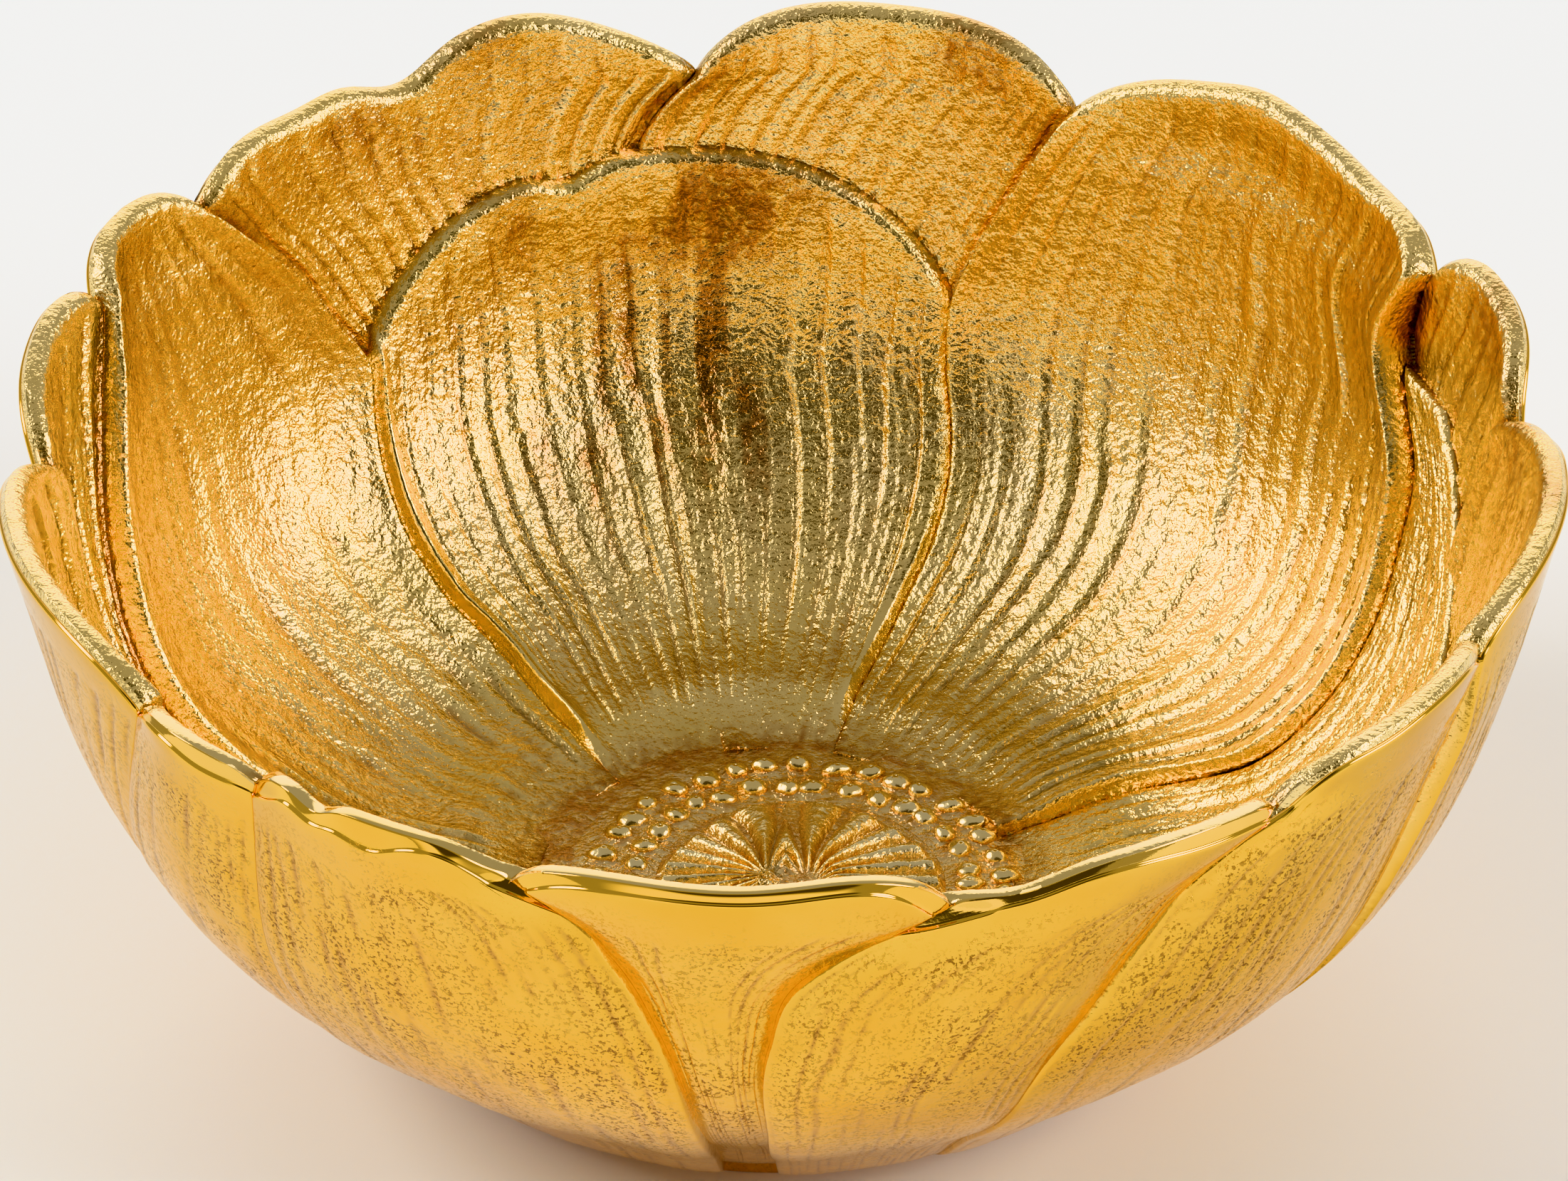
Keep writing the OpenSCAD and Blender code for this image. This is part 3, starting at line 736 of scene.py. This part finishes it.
class NodeKit:
    """Short ways to add a node tree's nodes and join them up."""

    def __init__(self, tree):
        self.nodes = tree.nodes
        self.link = tree.links.new
        self.coordinates = self.add("ShaderNodeTexCoord")

    def add(self, kind, **settings):
        made = self.nodes.new(kind)
        for key, value in settings.items():
            setattr(made, key, value)
        return made

    def feed(self, socket, value):
        """Join a socket to another node's output, or give it a plain value."""
        if isinstance(value, bpy.types.NodeSocket):
            self.link(value, socket)
        else:
            socket.default_value = value

    def number(self, operation, a, b, clamp=False):
        made = self.add("ShaderNodeMath", operation=operation, use_clamp=clamp)
        self.feed(made.inputs[0], a)
        self.feed(made.inputs[1], b)
        return made.outputs[0]

    def blend(self, factor, a, b):
        """Colour a where factor is 0, b where it is 1."""
        made = self.add("ShaderNodeMix", data_type="RGBA")
        self.feed(made.inputs[0], factor)
        self.feed(made.inputs[6], a)
        self.feed(made.inputs[7], b)
        return made.outputs[2]

    def ramp(self, value, low, high, **settings):
        """0 where value is at low, rising to 1 at high."""
        made = self.add("ShaderNodeMapRange", **settings)
        made.inputs["From Min"].default_value = low
        made.inputs["From Max"].default_value = high
        self.feed(made.inputs["Value"], value)
        return made.outputs["Result"]

    def noise(self, size, detail, roughness=0.5):
        """Noise whose lumps are about size millimetres across."""
        made = self.add("ShaderNodeTexNoise")
        made.inputs["Scale"].default_value = 1 / (size * UNIT)
        made.inputs["Detail"].default_value = detail
        made.inputs["Roughness"].default_value = roughness
        self.link(self.coordinates.outputs["Object"], made.inputs["Vector"])
        return made.outputs["Fac"]

    def mesh_value(self, key):
        return self.add("ShaderNodeAttribute", attribute_name=key).outputs["Fac"]


def new_material(name):
    """A material and its Principled shader."""
    material = bpy.data.materials.new(name)
    material.use_nodes = True
    return material, material.node_tree.nodes["Principled BSDF"]


def cast_gold(name, outside, inside_tones, shade_colour, satin, mirror, grain):
    """Cast gold-coloured metal. The mesh's polish, painted shade and pits values say where it is
    mirror smooth, where shade is painted into its hollows, seams and undersides and where the
    casting is pitted; its inside value blends from the outside's two tones to the inside's."""
    material, shader = new_material(name)
    kit = NodeKit(material.node_tree)
    shader.inputs["Metallic"].default_value = 1.0

    painted_shade = kit.mesh_value("painted_shade")
    inside = kit.mesh_value("inside")
    unpolished = kit.number("SUBTRACT", 1.0, kit.mesh_value("polish"), clamp=True)
    rough_part = kit.number("MULTIPLY", unpolished, kit.ramp(inside, -0.25, 1.0))
    patches = kit.noise(9, 3)
    grain_fine = kit.noise(0.42, 2, 0.55)
    grain_coarse = kit.noise(1.0, 2)
    specks = kit.ramp(kit.noise(0.4, 3, 0.7), 0.545, 0.605)
    spread = kit.ramp(kit.noise(3.4, 3, 0.6), 0.35, 0.52)
    pits = kit.number("MULTIPLY", specks, spread)
    pits = kit.number("MULTIPLY", pits, kit.mesh_value("pits"), clamp=True)

    patched = kit.ramp(patches, 0.35, 0.65)
    tone = kit.blend(inside, kit.blend(patched, *outside), kit.blend(patched, *inside_tones))
    # Painted shade: the tone turns to the shade colour in the hollows, seams and undersides, broken up
    # by the grain.
    in_shade = kit.number("MULTIPLY", painted_shade, kit.ramp(grain_coarse, 0.2, 0.62), clamp=True)
    tone = kit.blend(in_shade, tone, shade_colour)
    # The deepest painted shade, and the painted dark reflection on the back inner petal, turn almost
    # black-brown.
    darkest_shade = kit.number("MULTIPLY", kit.ramp(painted_shade, 0.9, 1.7), kit.ramp(grain_fine, 0.3, 0.6))
    tone = kit.blend(kit.number("MULTIPLY", darkest_shade, 0.85), tone, DARKEST_SHADE)
    tone = kit.blend(kit.number("MULTIPLY", pits, 0.9), tone, PIT)
    kit.feed(shader.inputs["Base Color"], tone)

    gloss = kit.number("MULTIPLY", unpolished, satin - mirror)
    gloss = kit.number("ADD", gloss, mirror)
    uneven = kit.number("MULTIPLY", kit.ramp(patches, 0.2, 0.8), 0.05)
    gloss = kit.number("ADD", gloss, kit.number("MULTIPLY", uneven, rough_part))
    gloss = kit.number("ADD", gloss, kit.number("MULTIPLY", pits, 0.2), clamp=True)
    kit.feed(shader.inputs["Roughness"], gloss)

    fine_part = kit.number("MULTIPLY", grain_fine, 0.4)
    coarse_part = kit.number("MULTIPLY", grain_coarse, 0.6)
    relief = kit.number("MULTIPLY", kit.number("ADD", fine_part, coarse_part), rough_part)
    relief = kit.number("SUBTRACT", relief, kit.number("MULTIPLY", pits, 0.3))
    bump = kit.add("ShaderNodeBump")
    bump.inputs["Strength"].default_value = 1.0
    bump.inputs["Distance"].default_value = grain * UNIT
    kit.feed(bump.inputs["Height"], relief)
    kit.feed(shader.inputs["Normal"], bump.outputs["Normal"])
    return material


# Colours, in pairs where a tone drifts between two.
OUTSIDE = ((0.97, 0.58, 0.1, 1), (0.92, 0.52, 0.08, 1))
INSIDE = ((1.0, 0.75, 0.33, 1), (0.96, 0.7, 0.26, 1))
HEART = ((1.0, 0.8, 0.42, 1), (1.0, 0.75, 0.33, 1))
# Painted shade: the foot's tones are darker and more orange than the rest of the gold.
FOOT = ((0.8, 0.38, 0.08, 1), (0.62, 0.26, 0.05, 1))
# Painted shade colours, for hollows, seams, grooves and undersides.
SHADE_COLOUR = (0.5, 0.24, 0.08, 1)
HEART_SHADE_COLOUR = (0.66, 0.34, 0.13, 1)
FOOT_SHADE_COLOUR = (0.4, 0.15, 0.03, 1)
# The darkest painted shade, also used for the painted dark reflection on the back inner petal.
DARKEST_SHADE = (0.16, 0.07, 0.02, 1)
PIT = (0.26, 0.11, 0.03, 1)

petal_gold = cast_gold("petal_gold", OUTSIDE, INSIDE, SHADE_COLOUR, 0.16, 0.07, 0.36)
inner_petal_gold = cast_gold("inner_petal_gold", INSIDE, INSIDE, SHADE_COLOUR, 0.16, 0.08, 0.36)
heart_gold = cast_gold("heart_gold", HEART, HEART, HEART_SHADE_COLOUR, 0.2, 0.1, 0.42)
bead_gold = cast_gold("bead_gold", HEART, HEART, HEART_SHADE_COLOUR, 0.24, 0.1, 0.24)
foot_gold = cast_gold("foot_gold", FOOT, FOOT, FOOT_SHADE_COLOUR, 0.34, 0.1, 0.3)

# ---------------------------------------------------------------- the bowl

for number, (name, definition) in enumerate(PETALS.items()):
    build_petal(name, definition, 100 + 40 * number, petal_gold)


def back_tips(u):
    """How far up the wall the back inner petal reaches, with a small nick near its top."""
    return mix(BACK_SHOULDER, BACK_TIP, arch(u, 2.5)) - 1.6 * gauss(u, 0.61, 0.05)


def side_tips(u):
    """How far up the wall the right inner petal reaches: level, hidden by its neighbours."""
    return SIDE_TIP + 0 * u


build_overlay("inner_petal_back", [pair for pair in turned(SEAM_M) if pair[0] <= 73],
              [pair for pair in SEAM_B if pair[0] <= 72.5], back_tips, height=1.8,
              ridge=(0.35, 0.7), dark_reflection=0.7, veins=19, seed=700, material=inner_petal_gold)
build_overlay("inner_petal_right", SIDE_EDGE, turned(SEAM_L), side_tips, height=0.9,
              ridge=(0.45, 0), dark_reflection=0, veins=10, seed=760, material=inner_petal_gold)
build_floor(heart_gold)
build_heart(heart_gold)
build_beads(bead_gold)
build_foot(foot_gold)

# ---------------------------------------------------------------- floor, light and camera


def plain_material(name, colour, roughness):
    material, shader = new_material(name)
    shader.inputs["Base Color"].default_value = colour
    shader.inputs["Roughness"].default_value = roughness
    return material


def build_stage():
    """A plain pale table top under the bowl."""
    reach = 2.5
    mesh = bpy.data.meshes.new("table_top")
    mesh.from_pydata([(-reach, -reach, 0), (reach, -reach, 0), (reach, reach, 0), (-reach, reach, 0)],
                     [], [(0, 1, 2, 3)])
    mesh.materials.append(plain_material("pale_table", (0.93, 0.935, 0.94, 1), 0.6))
    table = bpy.data.objects.new("table_top", mesh)
    bpy.context.scene.collection.objects.link(table)


# The studio round the bowl: each zone's colour and direction, and the angles in degrees from
# that direction where it ends and where it is full. Later zones lie over earlier ones.
ROOM = (0.38, 0.38, 0.38, 1)
ZONES = (
    ((2.2, 2.15, 2.05, 1), (0, 0.95, 0.32), 30, 18),       # a screen behind the bowl
    ((8.5, 8.5, 8.4, 1), (-0.76, 0.05, 0.62), 18, 13),     # a soft box on the left
    ((8.5, 8.5, 8.4, 1), (0.85, -0.22, 0.52), 18, 13),     # a soft box on the right
    ((1.3, 1.27, 1.2, 1), (-0.1, -0.98, 0.2), 34, 16),     # a low reflector in front
    ((0.06, 0.05, 0.04, 1), (0.1, -0.75, 0.66), 27, 20),   # the dark round the camera
)


def build_world():
    """The light: the studio's zones, all round the bowl."""
    world = bpy.data.worlds.new("studio")
    bpy.context.scene.world = world
    world.use_nodes = True
    background = world.node_tree.nodes["Background"]
    kit = NodeKit(world.node_tree)
    tone = ROOM
    for colour, direction, edge_angle, full_angle in ZONES:
        along = kit.add("ShaderNodeVectorMath", operation="DOT_PRODUCT")
        kit.feed(along.inputs[0], kit.coordinates.outputs["Generated"])
        along.inputs[1].default_value = Vector(direction).normalized()
        within = kit.ramp(along.outputs["Value"], math.cos(math.radians(edge_angle)),
                          math.cos(math.radians(full_angle)), interpolation_type="SMOOTHSTEP")
        tone = kit.blend(within, tone, colour)
    kit.feed(background.inputs["Color"], tone)
    background.inputs["Strength"].default_value = 1.0


def build_camera():
    """Where the photo was taken from: well back and 34.7 degrees above the table."""
    elevation = math.radians(34.7)
    roll = math.radians(0.49)
    reach = 16 * RIM_RADIUS * UNIT
    target = Vector((0.5, 0, 40.1)) * UNIT
    forward = Vector((0, math.cos(elevation), -math.sin(elevation)))
    level = Vector((1, 0, 0))
    upright = level.cross(forward)
    side = level * math.cos(roll) + upright * math.sin(roll)
    camera = bpy.data.objects.new("camera", bpy.data.cameras.new("camera"))
    camera.data.sensor_width = 36
    camera.data.lens = 280
    axes = Matrix((side, side.cross(forward), -forward)).transposed()
    camera.matrix_world = Matrix.Translation(target - forward * reach) @ axes.to_4x4()
    bpy.context.scene.collection.objects.link(camera)
    bpy.context.scene.camera = camera


build_stage()
build_world()
build_camera()
bpy.context.scene.view_settings.view_transform = "Khronos PBR Neutral"
